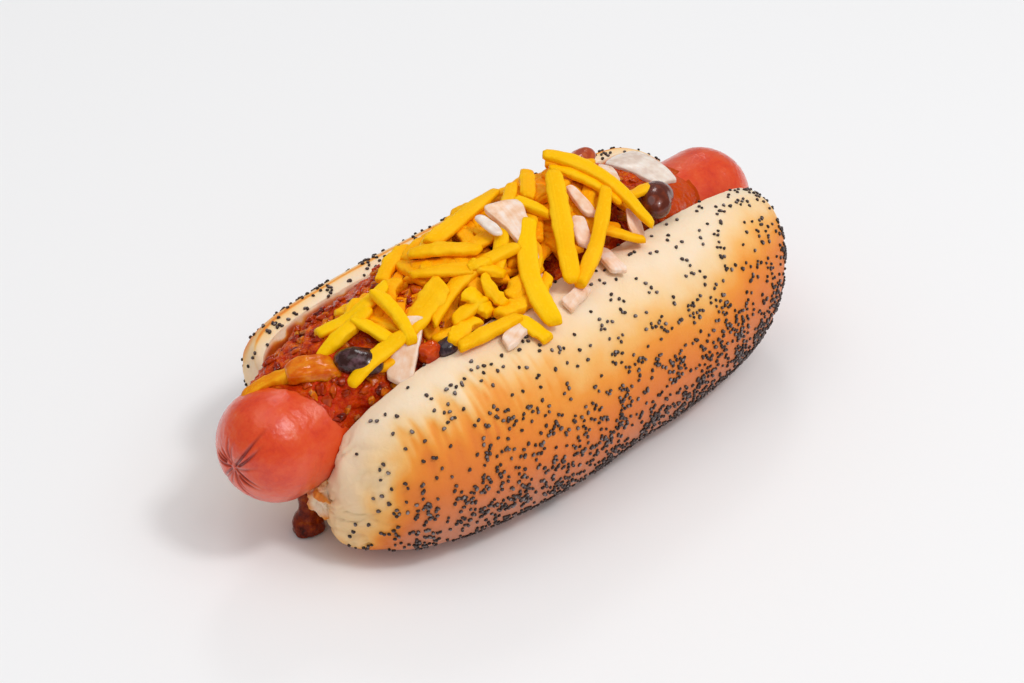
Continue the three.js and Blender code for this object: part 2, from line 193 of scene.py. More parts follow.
def even_places(length, width, blunt):
    """Spaces the rings of a long shape evenly along its outline, so its blunt ends get their share."""
    angle = np.linspace(0, math.pi, 4001)
    along = -np.sign(np.cos(angle)) * np.abs(np.cos(angle)) ** (2 / blunt)
    across = np.abs(np.sin(angle)) ** (2 / blunt)
    steps = np.hypot(np.diff(along * length / 2), np.diff(across * width / 2))
    walked = np.concatenate([[0], np.cumsum(steps)])
    return walked / walked[-1], along


def rise_at(round_share):
    """How far up the crust or the crumb a share of the way round is: 0 at the hinge and 1 at the rim."""
    return round_share / CRUST_SHARE if round_share < CRUST_SHARE else (1 - round_share) / (1 - CRUST_SHARE)


@lru_cache(maxsize=None)
def bun_section(side, round_share):
    """The section of a lobe at a share of the way round: its outline there, and the middle of the dough."""
    lobe = FRONT_LOBE if side < 0 else BACK_LOBE
    rise = rise_at(round_share)
    outline = curve_point(lobe["crust"] if round_share < CRUST_SHARE else lobe["crumb"], rise)
    core = min(rise, MIDDLE_END)
    middle = (curve_point(lobe["crust"], core) + curve_point(lobe["crumb"], core)) / 2
    return outline, middle


def bun_point(lobe, lengthwise, round_share):
    """A place on a lobe: lengthwise -1 to 1, and round from the hinge's underside to the groove."""
    outline, middle = bun_section(lobe["side"], round(round_share, 5))
    end = lobe["near"] if lengthwise < 0 else lobe["far"]
    spread = (1 - abs(lengthwise) ** end["blunt_middle"]) ** (1 / end["blunt_middle"])
    thick = (1 - abs(lengthwise) ** end["blunt_skin"]) ** (1 / end["blunt_skin"])
    y = middle.x * spread + (outline.x - middle.x) * thick
    z = BUN_END_HEIGHT + (middle.y - BUN_END_HEIGHT) * spread + (outline.y - middle.y) * thick
    lean = end["reach"] + end["lean"] * (z - LEAN_HEIGHT)
    passing = lengthwise**3 * min(1, y / HINGE_HALF_WIDTH) * lean
    if lobe["side"] > 0:
        z += FAR_DOME * smooth_step(lengthwise, 0.7, 0.88) * smooth_step(rise_at(round_share), 0.55, 0.95)
    return Vector((BUN_MIDDLE + lengthwise * HINGE_LENGTH / 2 + passing, lobe["side"] * y, max(z, 0)))


def clear_of_sausage(point, gap):
    """Moves a point that would be inside the sausage out to its skin."""
    if abs(point.x) > CLEARED_X:
        return point
    outward = Vector((0, point.y, point.z - SAUSAGE_HEIGHT))
    reach = SAUSAGE_RADIUS + gap
    if outward.length >= reach:
        return point
    outward.normalize()
    return Vector((point.x, outward.y * reach, SAUSAGE_HEIGHT + outward.z * reach))


def rim_creases(lobe, lengthwise, rise):
    """The fine creases that run down from the rim near the bun's near end, from 0 to 1."""
    if lobe["side"] > 0 or lengthwise > -0.3:
        return 0
    band = smooth_step(lengthwise, -0.92, -0.84) * (0.35 + 0.65 * smooth_step(lengthwise, -0.52, -0.66))
    band *= smooth_step(lengthwise, -0.3, -0.45) * smooth_step(rise, 0.6, 0.7) * smooth_step(rise, 0.92, 0.8)
    line = noise.noise(Vector((lengthwise * 26 + 2.2 * rise, rise * 2.6, 9.0)))
    return band * math.exp(-((line / 0.12) ** 2))


def dough_relief(point, lobe, lengthwise, rise, on_crust):
    """How far the dough stands out from its smooth shape, in millimetres."""
    swell = 0.4 * noise.noise(point / 19) + 0.06 * noise.noise(point / 2.8)
    if not on_crust:
        tear = smooth_step(lengthwise, -0.78, -0.95) * smooth_step(rise, 0.75, 0.3)
        crumb = 0.28 * noise.turbulence(point / 2.6, 3, False) - 0.14
        return swell + crumb + 1.6 * tear * (noise.turbulence(point / 3.4, 3, True) - 0.45)
    near_end = smooth_step(lengthwise, -0.84, -0.98) * smooth_step(rise, 1.02, 0.9)
    bend = 0.9 * noise.noise_vector(point / 7)
    fold = noise.noise(Vector((lengthwise * 9, rise * 6, 4.0 + lobe["side"])) + bend)
    wrinkle = noise.noise(Vector((lengthwise * 30, rise * 11, 7.0)) + bend)
    gather = noise.noise(point / 5.5)
    puckers = 0.5 * gather - 0.5 * math.exp(-((fold / 0.09) ** 2)) - 0.22 * math.exp(-((wrinkle / 0.1) ** 2))
    puckers *= near_end * (1 if lobe["side"] < 0 else 0.35)
    return swell + puckers - 0.4 * rim_creases(lobe, lengthwise, rise)


def baked(lobe, lengthwise, rise, point):
    """How brown the crust is, from 0 for pale dough at the rim to 1 for the crust low on the bun's flank."""
    pale_rise = 0.83 if lobe["side"] < 0 else 0.95
    spread = 0.45 if lobe["side"] < 0 else 0.5
    drift = 0.05 * noise.noise(point / 16) + 0.02 * noise.noise(point / 5)
    near_lift = 0.05 * smooth_step(lengthwise, -0.2, -0.8)
    near_lift += 0.085 * smooth_step(lengthwise, 0.3, 0.85)
    brown = min(max((pale_rise + near_lift - rise + drift) / spread, 0), 1)
    brown += 0.16 * rim_creases(lobe, lengthwise, rise)
    if lobe["side"] > 0:
        brown += 0.3 * math.exp(-(((rise - BACK_LINE) / 0.012) ** 2))
    return brown * (0.16 + 0.84 * smooth_step(lengthwise + 0.02 * noise.noise(point / 5), -0.99, -0.86))


BUN_ROUND, BUN_RINGS = 384, 250
bun = bmesh.new()
bmesh.ops.create_uvsphere(bun, u_segments=BUN_ROUND, v_segments=BUN_RINGS, radius=1)
DOUGH_LAYERS = ("bake", "crumb", "stain")
bake_layer, crumb_layer, stain_layer = [bun.verts.layers.float.new(layer) for layer in DOUGH_LAYERS]
walked, lengthwise_at = even_places(HINGE_LENGTH, 60, 4.4)
bun_places = {}
for vert in bun.verts:
    ring = ring_share(vert)
    lengthwise = float(np.interp(ring, walked, lengthwise_at))
    round_share = math.atan2(abs(vert.co.x), -vert.co.y) / math.pi
    lobe = FRONT_LOBE if vert.co.x < 0 else BACK_LOBE
    bun_places[vert] = (lobe, lengthwise, round_share)
    vert.co = bun_point(lobe, lengthwise, round_share)
bmesh.ops.recalc_face_normals(bun, faces=bun.faces)
bun.normal_update()
for vert, (lobe, lengthwise, round_share) in bun_places.items():
    on_crust = round_share < CRUST_SHARE
    rise = rise_at(round_share)
    place = vert.co.copy()
    lifted = smooth_step(place.z, *LIFTED)
    moved = place + vert.normal * lifted * dough_relief(place, lobe, lengthwise, rise, on_crust)
    moved = clear_of_sausage(moved, 0.15)
    vert.co = Vector((moved.x, moved.y, max(moved.z, 0)))
    mottle = 0.07 * noise.noise(place / 6) + 0.07 * noise.noise(place / 2.4)
    vert[bake_layer] = baked(lobe, lengthwise, rise, place) if on_crust else 0
    vert[crumb_layer] = 0 if on_crust else smooth_step(rise, 1.0, 0.93)
    wet = smooth_step(rise + mottle, 0.98, 0.9) * smooth_step(abs(place.x + 2), 80, 66)
    vert[stain_layer] = 0 if on_crust else wet
bun_tree = BVHTree.FromBMesh(bun)

# Baked wheat dough: a matt, faintly waxy skin, cream at the rim and orange-brown low on the flank, over a
# dry open crumb. It gives the eye a soft body colour with light scattering under the skin.
dough, tree, where = new_material("baked wheat dough")
bake, crumb, stain = [
    add_node(tree, "ShaderNodeAttribute", {"attribute_name": layer}).outputs["Fac"] for layer in DOUGH_LAYERS
]
blotch = add_node(
    tree,
    "ShaderNodeTexNoise",
    values={"Scale": 1 / (5 * MM), "Detail": 4, "Roughness": 0.6},
    links={"Vector": where},
)
shift = add_node(tree, "ShaderNodeMath", {"operation": "MULTIPLY_ADD"}, {1: 0.12, 2: -0.06}, {0: blotch})
brown = add_node(tree, "ShaderNodeMath", {"operation": "ADD", "use_clamp": True}, links={0: bake, 1: shift})
crust_colour = add_node(
    tree,
    "ShaderNodeValToRGB",
    links={"Fac": brown},
    stops=[
        (0, "#f2dabb"), (0.16, "#f3cd98"), (0.27, "#f3b564"), (0.38, "#f09838"),
        (0.5, "#ea862e"), (0.66, "#e27a33"), (0.83, "#d67c4e"), (1, "#cc8160"),
    ],
)
crumb_colour = add_node(
    tree,
    "ShaderNodeValToRGB",
    links={"Fac": stain},
    stops=[(0, "#efd8bc"), (0.3, "#e0913c"), (0.6, "#cc600c"), (1, "#ae4206")],
)
skin = add_node(
    tree, "ShaderNodeMixRGB", links={"Fac": crumb, "Color1": crust_colour, "Color2": crumb_colour}
)
pores = add_node(
    tree,
    "ShaderNodeTexNoise",
    values={"Scale": 1 / (0.9 * MM), "Detail": 5, "Roughness": 0.65},
    links={"Vector": where},
)
dough_bump = add_node(
    tree, "ShaderNodeBump", values={"Strength": 0.35, "Distance": 0.35 * MM}, links={"Height": pores}
)
finish_material(
    tree,
    values={
        "Roughness": 0.52,
        "IOR": 1.42,
        "Specular IOR Level": 0.35,
        "Subsurface Weight": 0.12,
        "Subsurface Radius": (1.0, 0.55, 0.3),
        "Subsurface Scale": 1.5 * MM,
    },
    links={"Base Color": skin, "Normal": dough_bump},
)
finish_piece("bun_dough", bun, dough, ["bun"])

# The torn crumb
# Where the two lobes were pulled apart at the near end, a tongue of torn crumb hangs beside the drip. It is a
# pitted lump grown into the end of the dough, and sauce has stained it orange in patches.
TORN_PLACE = (-65, -8, 14.8)
TORN_HALF = (2.9, 3.8, 6)
torn = bmesh.new()
bmesh.ops.create_icosphere(torn, subdivisions=6, radius=1)
torn_bake, torn_crumb, torn_stain = [torn.verts.layers.float.new(layer) for layer in DOUGH_LAYERS]
for vert in torn.verts:
    way = vert.co.copy()
    place = Vector([c * h for c, h in zip(way, TORN_HALF)])
    pits = noise.turbulence(place / 2.2, 4, True)
    place += way * (1.1 * noise.noise(place / 2.6) + 1.5 * (pits - 0.5))
    vert.co = clear_of_sausage(place + Vector(TORN_PLACE), 0.1)
    vert[torn_bake] = 0
    vert[torn_crumb] = 1
    vert[torn_stain] = min(max(0.1 + 0.5 * noise.noise(place / 3), 0), 0.5)
finish_piece("torn_crumb", torn, dough)

# The poppy seeds
# Dry kidney-shaped seeds about a millimetre long, baked onto the crust with the egg wash. They lie singly
# near the rim and crowd together low on the flanks, and all of them are one piece.
SEED_LENGTH = 1.08
SEED_COUNT = 4000
SEED_FRONT_SHARE = 0.64
SEED_LOWEST_RISE = 0.3
SEED_TABLE_GAP = 0.7
seed_random = random.Random(12)


def seed_wanted(lobe, lengthwise, rise, point):
    """The chance that a seed stays where it falls."""
    chance = 0.08 + 0.11 * smooth_step(rise, 0.9, 0.7) + 0.24 * smooth_step(rise, 0.76, 0.6)
    chance += 0.62 * smooth_step(rise, 0.63, 0.46)
    if lobe["side"] > 0:
        chance = max(chance, 0.3 * smooth_step(rise, 0.8, 0.95))
    chance += 0.08 * smooth_step(lengthwise, 0.2, 0.5) * smooth_step(rise, 1, 0.9)
    chance *= 0.3 + 0.7 * smooth_step(lengthwise, -0.98, -0.8)
    return chance * (0.55 + 1.3 * max(noise.noise(point / 5.5), -0.3))


seeds = bmesh.new()
seeds.verts.layers.float.new("tone")
placed_seeds = 0
while placed_seeds < SEED_COUNT:
    lobe = FRONT_LOBE if seed_random.random() < SEED_FRONT_SHARE else BACK_LOBE
    lengthwise = seed_random.uniform(-0.985, 0.985)
    rise = seed_random.uniform(SEED_LOWEST_RISE, 1.0)
    keep, turn, tone = seed_random.random(), seed_random.uniform(0, math.tau), seed_random.random()
    size = seed_random.uniform(0.8, 1.04)
    point = bun_point(lobe, lengthwise, rise * CRUST_SHARE * 0.999)
    if point.z < SEED_TABLE_GAP or keep > seed_wanted(lobe, lengthwise, rise, point):
        continue
    ground, outward, _, _ = bun_tree.find_nearest(point)
    seed = bmesh.new()
    seed_tone_and_highlight = seed.verts.layers.float.new("tone")
    bmesh.ops.create_uvsphere(seed, u_segments=8, v_segments=4, radius=SEED_LENGTH * size / 2)
    settle = outward.to_track_quat("Z", "Y") @ Quaternion((0, 0, 1), turn)
    for vert in seed.verts:
        x, y, z = vert.co
        # Painted highlight: the top of each seed is given a lighter tone.
        painted_crown_highlight = smooth_step(z, 0.1, 0.5)
        bend = 0.5 * x * x / SEED_LENGTH
        vert.co = Vector((x, 0.76 * y + bend, 0.7 * z)) + Vector((0, 0, 0.2))
        vert.co = settle @ vert.co + ground
        vert[seed_tone_and_highlight] = 0.45 * tone + 0.5 * painted_crown_highlight
    add_shape(seeds, seed)
    placed_seeds += 1

# Poppy seed: a hard blue-grey to black hull with a netted skin, and a painted highlight that lightens the top
# of each seed to grey.
hull, tree, where = new_material("poppy seed hull")
tone = add_node(tree, "ShaderNodeAttribute", {"attribute_name": "tone"}).outputs["Fac"]
hull_colour_and_highlight = add_node(
    tree,
    "ShaderNodeValToRGB",
    links={"Fac": tone},
    stops=[(0, "#180c08"), (0.42, "#33211b"), (0.66, "#554441"), (0.86, "#8a7d7a"), (1, "#a99d98")],
)
net = add_node(tree, "ShaderNodeTexVoronoi", values={"Scale": 1 / (0.22 * MM)}, links={"Vector": where})
hull_bump = add_node(
    tree, "ShaderNodeBump", values={"Strength": 0.4, "Distance": 0.05 * MM}, links={"Height": net}
)
finish_material(
    tree, values={"Roughness": 0.42, "IOR": 1.5}, links={"Base Color": hull_colour_and_highlight, "Normal": hull_bump}
)
finish_piece("poppy_seeds", seeds, hull)

# The sausage
# A skinless frankfurter, steamed, with both ends drawn together in a pucker that leaves short radial creases.
# It is a sphere drawn out to a rounded cylinder, with its rings close together at the near end.
SAUSAGE_CYLINDER = 142
SAUSAGE_CAP = 11.8
PUCKER_RADIUS = 3
PUCKER_DEPTH = 1
CAP_WALK = 19.1
CREASE_COUNT = 17
CREASE_WIDTH = 0.34
SAUSAGE_WALK = 2 * CAP_WALK + SAUSAGE_CYLINDER
SAUSAGE_RINGS = [0, 0.42, 0.78, 1], [0, CAP_WALK + 4, SAUSAGE_WALK - CAP_WALK - 2, SAUSAGE_WALK]
crease_random = random.Random(5)
CREASES = []
for i in range(CREASE_COUNT):
    CREASES.append(
        {
            "turn": math.tau * (i + crease_random.uniform(-0.42, 0.42)) / CREASE_COUNT,
            "start": crease_random.choice([0.2, 0.3, 1.6]),
            "length": crease_random.uniform(6, 13.5),
            "sway": crease_random.uniform(-0.3, 0.3),
            "depth": crease_random.uniform(0.3, 1),
        }
    )


def crease_depth(turn, across):
    """How deep the drawn-in creases are at this turn round a pole and this far from it, from 0 to 1."""
    depth = 0
    for crease in CREASES:
        off = (turn - crease["turn"] - crease["sway"] * across / 6 + math.pi) % math.tau - math.pi
        sideways = abs(off) * across
        fade = smooth_step(across, crease["length"], crease["length"] * 0.4)
        fade *= smooth_step(across, crease["start"], crease["start"] + 1)
        depth = max(depth, crease["depth"] * fade * math.exp(-((sideways / CREASE_WIDTH) ** 2)))
    return depth


sausage = bmesh.new()
bmesh.ops.create_uvsphere(sausage, u_segments=256, v_segments=300, radius=1)
crease_shade_layer = sausage.verts.layers.float.new("crease")
for vert in sausage.verts:
    ring = ring_share(vert)
    turn = math.atan2(vert.co.y, vert.co.x)
    walk = float(np.interp(ring, *SAUSAGE_RINGS))
    from_end = min(walk, SAUSAGE_WALK - walk)
    cap_angle = min(from_end / CAP_WALK, 1) * math.pi / 2
    across = SAUSAGE_RADIUS * math.sin(cap_angle)
    dimple = PUCKER_DEPTH * math.exp(-((across / PUCKER_RADIUS) ** 2))
    end_x = SAUSAGE_CYLINDER / 2 + SAUSAGE_CAP * math.cos(cap_angle) - dimple
    x = end_x if from_end < CAP_WALK else SAUSAGE_CYLINDER / 2 - (from_end - CAP_WALK)
    x = -x if walk < SAUSAGE_WALK / 2 else x
    crease = crease_depth(turn, across) if from_end < CAP_WALK else 0
    around = Vector((0, math.cos(turn), math.sin(turn)))
    outward = around * math.sin(cap_angle) + Vector((math.copysign(math.cos(cap_angle), x), 0, 0))
    place = Vector((x, 0, SAUSAGE_HEIGHT)) + around * across
    peel = 0.05 * noise.noise(place / 1.6) + 0.045 * noise.noise(place / 0.8)
    relief = 0.14 * noise.noise(place / 7) + peel - 0.6 * crease
    vert.co = place + outward * relief
    # Painted shade: the creases are marked to be coloured a darker red.
    vert[crease_shade_layer] = min(1.5 * crease, 1)

# Frankfurter skin: smooth cooked meat emulsion, orange-red and faintly mottled, with a moist satin shine, and
# painted shade that darkens the drawn-in creases at its ends to a deep red.
frank, tree, where = new_material("frankfurter skin")
crease = add_node(tree, "ShaderNodeAttribute", {"attribute_name": "crease"}).outputs["Fac"]
mottle = add_node(
    tree,
    "ShaderNodeTexNoise",
    values={"Scale": 1 / (5 * MM), "Detail": 8, "Roughness": 0.72},
    links={"Vector": where},
)
meat_colour = add_node(
    tree,
    "ShaderNodeValToRGB",
    links={"Fac": mottle},
    stops=[(0.3, "#d02c00"), (0.46, "#de4004"), (0.6, "#e24e12"), (0.74, "#e67650")],
)
# Painted shade in the creases: a deep red.
meat_and_crease_shade = add_node(
    tree,
    "ShaderNodeMixRGB",
    values={"Color2": hex_colour("#941a06")},
    links={"Fac": crease, "Color1": meat_colour},
)
pebbles = add_node(
    tree,
    "ShaderNodeTexNoise",
    values={"Scale": 1 / (0.7 * MM), "Detail": 4, "Roughness": 0.7},
    links={"Vector": where},
)
meat_bump = add_node(
    tree, "ShaderNodeBump", values={"Strength": 0.6, "Distance": 0.14 * MM}, links={"Height": pebbles}
)
finish_material(
    tree,
    values={
        "Roughness": 0.42,
        "IOR": 1.42,
        "Specular IOR Level": 0.35,
        "Coat Weight": 1,
        "Coat Roughness": 0.24,
        "Subsurface Weight": 0.12,
        "Subsurface Radius": (1.0, 0.3, 0.18),
        "Subsurface Scale": 0.8 * MM,
    },
    links={
        "Base Color": meat_and_crease_shade,
        "Normal": meat_bump,
        "Coat Normal": meat_bump,
    },
)
finish_piece("sausage_skin", sausage, frank, ["sausage"])

# The chili
# Ladled over the sausage between the lobes: a thick glossy sauce of tomato and chili, full of small soft
# bits. It is a flattened sphere under the ridge line of the filling, roughened by the bits under its skin.
CHILI_RIDGE = [
    (-70, 40), (-60, 42.6), (-50, 45), (-40, 46.5), (-20, 48.5),
    (20, 50), (40, 47.5), (52, 44), (64, 40),
]
CHILI_MIDDLE = -3.5
CHILI_HALF_LENGTH = 63
CHILI_HALF_WIDTH = 19
CHILI_FLOOR = 24
CHILI_SLANT = 0.6
FRONT_FALL = 0.022
BACK_FALL = 0.04
FROM_ABOVE = 200
CHILI_ENDS = 2.8
CALM_X = (36, 46)
THIN_AND_PAINTED_LIGHT_X = (-48, -58)
THIN_AND_PAINTED_LIGHT_Y = (3, -3)


def ridge_height(ridge, x):
    """The height of a ridge line at x, smooth between its listed points."""
    if x <= ridge[0][0]:
        return ridge[0][1]
    for (x0, z0), (x1, z1) in zip(ridge, ridge[1:]):
        if x <= x1:
            return z0 + (z1 - z0) * smooth_step(x, x0, x1)
    return ridge[-1][1]


def squared(value, power):
    """Rounds a unit sphere's coordinate off towards a box: a higher power is squarer."""
    return math.copysign(abs(value) ** (2 / power), value)


def chili_top(x, y):
    return ridge_height(CHILI_RIDGE, x) - FRONT_FALL * y * y


def bun_below(x, y):
    """The height of the bun under a place, or 0 beside it."""
    hit = bun_tree.ray_cast(Vector((x, y, FROM_ABOVE)), Vector((0, 0, -1)))[0]
    return hit.z if hit else 0


chili = bmesh.new()
thin_and_painted_light_layer = chili.verts.layers.float.new("thin_and_painted_light")
calm_layer = chili.verts.layers.float.new("calm")
bmesh.ops.create_uvsphere(chili, u_segments=220, v_segments=330, radius=1)
for vert in chili.verts:
    across, height = vert.co.x, vert.co.y
    y = CHILI_HALF_WIDTH * squared(across, 3)
    slant = CHILI_SLANT * y * vert.co.z**2 if vert.co.z < 0 else 0
    x = CHILI_MIDDLE + CHILI_HALF_LENGTH * squared(vert.co.z, CHILI_ENDS) - slant
    top = chili_top(x, y)
    middle = CHILI_FLOOR + 0.7 * (top - CHILI_FLOOR)
    share = squared(height, 3.4)
    z = middle + (top - middle) * share if share > 0 else middle + (CHILI_FLOOR - middle) * -share
    vert.co = Vector((x, y, z))
bmesh.ops.recalc_face_normals(chili, faces=chili.faces)
chili.normal_update()
for vert in chili.verts:
    place = vert.co.copy()
    lumps = 0.9 * noise.noise(place / 5.2) + 0.9 * noise.turbulence(place / 3, 3, False) - 0.3
    grain = 0.06 * noise.noise(place / 1.1)
    calm = smooth_step(place.x, *CALM_X)
    vert.co = clear_of_sausage(place + vert.normal * (lumps + grain) * (1 - 0.5 * calm), 0.05)
    vert[calm_layer] = calm
    # Partly thin sauce, partly painted light: the near front of the chili is marked for a brighter red.
    vert[thin_and_painted_light_layer] = smooth_step(place.x, *THIN_AND_PAINTED_LIGHT_X) * smooth_step(place.y, *THIN_AND_PAINTED_LIGHT_Y)
chili_tree = BVHTree.FromBMesh(chili)

# Chili sauce: stewed tomato, chili and fat, a deep red-brown, and wet. At the front of the near end it is a
# brighter red, partly for the thin sauce there and partly painted light over the shade between the sausage
# and the bun.
sauce, tree, where = new_material("stewed chili sauce")
stew = add_node(
    tree,
    "ShaderNodeTexNoise",
    values={"Scale": 1 / (2.2 * MM), "Detail": 8, "Roughness": 0.74},
    links={"Vector": where},
)
stew_colour = add_node(
    tree,
    "ShaderNodeValToRGB",
    links={"Fac": stew},
    stops=[(0.32, "#7e1602"), (0.44, "#b22802"), (0.56, "#d04e04"), (0.68, "#e08012")],
)
# The brighter red at the near front is partly thin sauce and partly painted light over the shade there.
thin_and_painted_light = add_node(tree, "ShaderNodeAttribute", {"attribute_name": "thin_and_painted_light"}).outputs["Fac"]
thin_and_painted_light_share = add_node(tree, "ShaderNodeMath", {"operation": "MULTIPLY"}, {1: 0.5}, {0: thin_and_painted_light})
thin_and_painted_light_colour = add_node(
    tree,
    "ShaderNodeMixRGB",
    values={"Color2": hex_colour("#dc2a06")},
    links={"Fac": thin_and_painted_light_share, "Color1": stew_colour},
)
calm = add_node(tree, "ShaderNodeAttribute", {"attribute_name": "calm"}).outputs["Fac"]
calm_share = add_node(tree, "ShaderNodeMath", {"operation": "MULTIPLY"}, {1: 0.8}, {0: calm})
sauce_colour = add_node(
    tree,
    "ShaderNodeMixRGB",
    values={"Color2": hex_colour("#c84600")},
    links={"Fac": calm_share, "Color1": thin_and_painted_light_colour},
)
grains = add_node(
    tree,
    "ShaderNodeTexNoise",
    values={"Scale": 1 / (1.2 * MM), "Detail": 5, "Roughness": 0.6},
    links={"Vector": where},
)
lumpy = add_node(tree, "ShaderNodeMath", {"operation": "MULTIPLY_ADD"}, {1: -0.8, 2: 1}, {0: calm})
height = add_node(tree, "ShaderNodeMath", {"operation": "MULTIPLY"}, links={0: grains, 1: lumpy})
sauce_bump = add_node(
    tree, "ShaderNodeBump", values={"Strength": 0.9, "Distance": 0.7 * MM}, links={"Height": height}
)
finish_material(
    tree,
    values={
        "Roughness": 0.1,
        "IOR": 1.36,
        "Specular IOR Level": 0.38,
        "Subsurface Weight": 0.2,
        "Subsurface Radius": (1.0, 0.25, 0.05),
        "Subsurface Scale": 1.2 * MM,
    },
    links={"Base Color": sauce_colour, "Normal": sauce_bump},
)
finish_piece("chili_sauce", chili, sauce, ["chili"])

# The bits in the chili
# Pieces of stewed pepper, onion, tomato and ground meat, up to a few millimetres across, that stand out of
# the sauce. They are small rounded blocks, half sunk, and all of them are one piece.
BIT_COUNT = 620
BIT_X = (-66, 40)
BIT_Y = (-15, 16)
BIT_HALF = ((0.6, 1.7), (0.5, 1.2), (0.4, 0.75))
BIT_TILT = 0.35
BIT_BEND = 0.07
bit_random = random.Random(31)


def rounded_block(cuts, power):
    """A block reaching 1 to each side of its middle, with its edges and corners rounded off."""
    block = bmesh.new()
    bmesh.ops.create_cube(block, size=2)
    bmesh.ops.subdivide_edges(block, edges=block.edges, cuts=cuts, use_grid_fill=True)
    for vert in block.verts:
        vert.co /= sum(abs(c) ** power for c in vert.co) ** (1 / power)
    return block


bits = bmesh.new()
bits.verts.layers.float.new("tone")
for i in range(BIT_COUNT):
    x = bit_random.uniform(*BIT_X)
    y = bit_random.uniform(*BIT_Y)
    ground, outward, _, _ = chili_tree.ray_cast(Vector((x, y, FROM_ABOVE)), Vector((0, 0, -1)))
    half = [bit_random.uniform(low, high) for low, high in BIT_HALF]
    turn = bit_random.uniform(0, math.tau) if ground else 0
    tilt = Quaternion((1, 0, 0), bit_random.uniform(-BIT_TILT, BIT_TILT))
    tone = bit_random.random()
    if ground is None:
        continue
    spin = outward.to_track_quat("Z", "Y") @ Quaternion((0, 0, 1), turn)
    bit = rounded_block(4, 2.5)
    bit_tone = bit.verts.layers.float.new("tone")
    for vert in bit.verts:
        rough = 1 + 0.5 * noise.noise(vert.co * 1.3 + Vector((7 * i, 0, 0)))
        local = Vector([c * h * rough for c, h in zip(vert.co, half)])
        local.z += BIT_BEND * local.x * local.x * (1 if i % 2 else -1)
        vert.co = spin @ (tilt @ local) + ground
        vert[bit_tone] = tone + 0.35 * noise.noise(vert.co / 0.9)
    add_shape(bits, bit)

# Stewed vegetable and meat: soft, translucent and coated with sauce, so orange, tan and brown bits all shine.
stewed, tree, where = new_material("stewed bits in sauce")
tone = add_node(tree, "ShaderNodeAttribute", {"attribute_name": "tone"}).outputs["Fac"]
bit_colour = add_node(
    tree,
    "ShaderNodeValToRGB",
    links={"Fac": tone},
    stops=[
        (0, "#5e1203"), (0.3, "#982402"), (0.6, "#bc4203"),
        (0.85, "#cf6206"), (0.96, "#d8800e"), (1, "#b06030"),
    ],
)
rind = add_node(
    tree, "ShaderNodeTexNoise", values={"Scale": 1 / (0.8 * MM), "Detail": 3}, links={"Vector": where}
)
bit_bump = add_node(
    tree, "ShaderNodeBump", values={"Strength": 0.4, "Distance": 0.25 * MM}, links={"Height": rind}
)
finish_material(
    tree,
    values={
        "Roughness": 0.1,
        "IOR": 1.36,
        "Subsurface Weight": 0.2,
        "Subsurface Radius": (1.0, 0.4, 0.08),
        "Subsurface Scale": 1.5 * MM,
    },
    links={"Base Color": bit_colour, "Normal": bit_bump},
)
finish_piece("chili_bits", bits, stewed)

# The drip
# Chili that ran off the near end: a thin neck down the bun's end and a thick drop standing on the table.
DRIP_PLACE = (-64.2, -1.2)
DRIP_OUTLINE = [
    (0, 0.3), (3.2, 0.3), (3.6, 1.4), (3.3, 3.4), (2.2, 5.4),
    (1.8, 8.4), (2.3, 13), (2.2, 17), (0, 18),
]
drip = bmesh.new()
bmesh.ops.create_uvsphere(drip, u_segments=64, v_segments=72, radius=1)
for vert in drip.verts:
    ring = ring_share(vert)
    turn = math.atan2(vert.co.y, vert.co.x)
    radius, height = curve_point(DRIP_OUTLINE, ring)
    radius = max(radius, 0)
    place = Vector((DRIP_PLACE[0] + radius * math.cos(turn), DRIP_PLACE[1] + radius * math.sin(turn), height))
    wobble = 0.5 * noise.noise(place / 3) + 0.2 * noise.noise(place / 1.3)
    place += Vector((math.cos(turn), math.sin(turn), 0)) * wobble * min(1, radius / 2)
    vert.co = clear_of_sausage(Vector((place.x, place.y, max(place.z, 0.05))), 0.05)
# Where the sauce stands thick it is darker.
DROP_COLOURS = ("#3c0c02", "#6c1a03", "#8c3006", "#b0560e")
drip_sauce = recoloured(sauce, "stewed chili sauce in a thick drop", DROP_COLOURS)
finish_piece("chili_drop", drip, drip_sauce, ["chili_drip"])

# The beans
# Kidney beans cooked soft in the chili, with dark wrinkled skins that shine with sauce. Each is a sphere
# drawn out and bent towards its eye.
HEAP_RIDGE = [
    (-76, 39), (-66, 41.5), (-60, 43), (-50, 47), (-40, 51), (-18, 56.5),
    (0, 58), (18, 60), (33, 56), (45, 48), (70, 42),
]
SHRED_THICKNESS = 3.2
Bean = namedtuple("Bean", "node at half turn lift colour light dents")
BEANS = [
    Bean("bean_1", (-52.5, -7.5), (5.6, 3.8, 3), -60, -2.6, "#34140f", "#6d4a52", dents=0.35),
    Bean("bean_2", (34.5, -15), (6.4, 4.4, 3.6), 35, -2.8, "#581e0c", "#7c3010", dents=0.06),
    Bean("bean_3", (-35, -17.5), (4.6, 2.8, 2.4), 20, -2.4, "#2c1c22", "#5a4248", dents=0.25),
    Bean("bean_4", (28, 3), (5.4, 3.2, 1.7), 20, -2.6, "#a83c14", "#c8602a", dents=0.3),
]


def heap_top(x, y):
    """The top of the heap of toppings, which also lie over the bun's rim."""
    fall = FRONT_FALL if y < 0 else BACK_FALL
    over_rim = bun_below(x, y) + SHRED_THICKNESS if abs(y) > 14 else 0
    return max(ridge_height(HEAP_RIDGE, x) - fall * y * y, over_rim)


def heap_place(topping):
    """Where the middle of a topping lies on the heap, and how it is turned there."""
    x, y = topping.at
    turn = Matrix.Rotation(math.radians(topping.turn), 3, "Z")
    return Vector((x, y, heap_top(x, y) + topping.lift)), turn


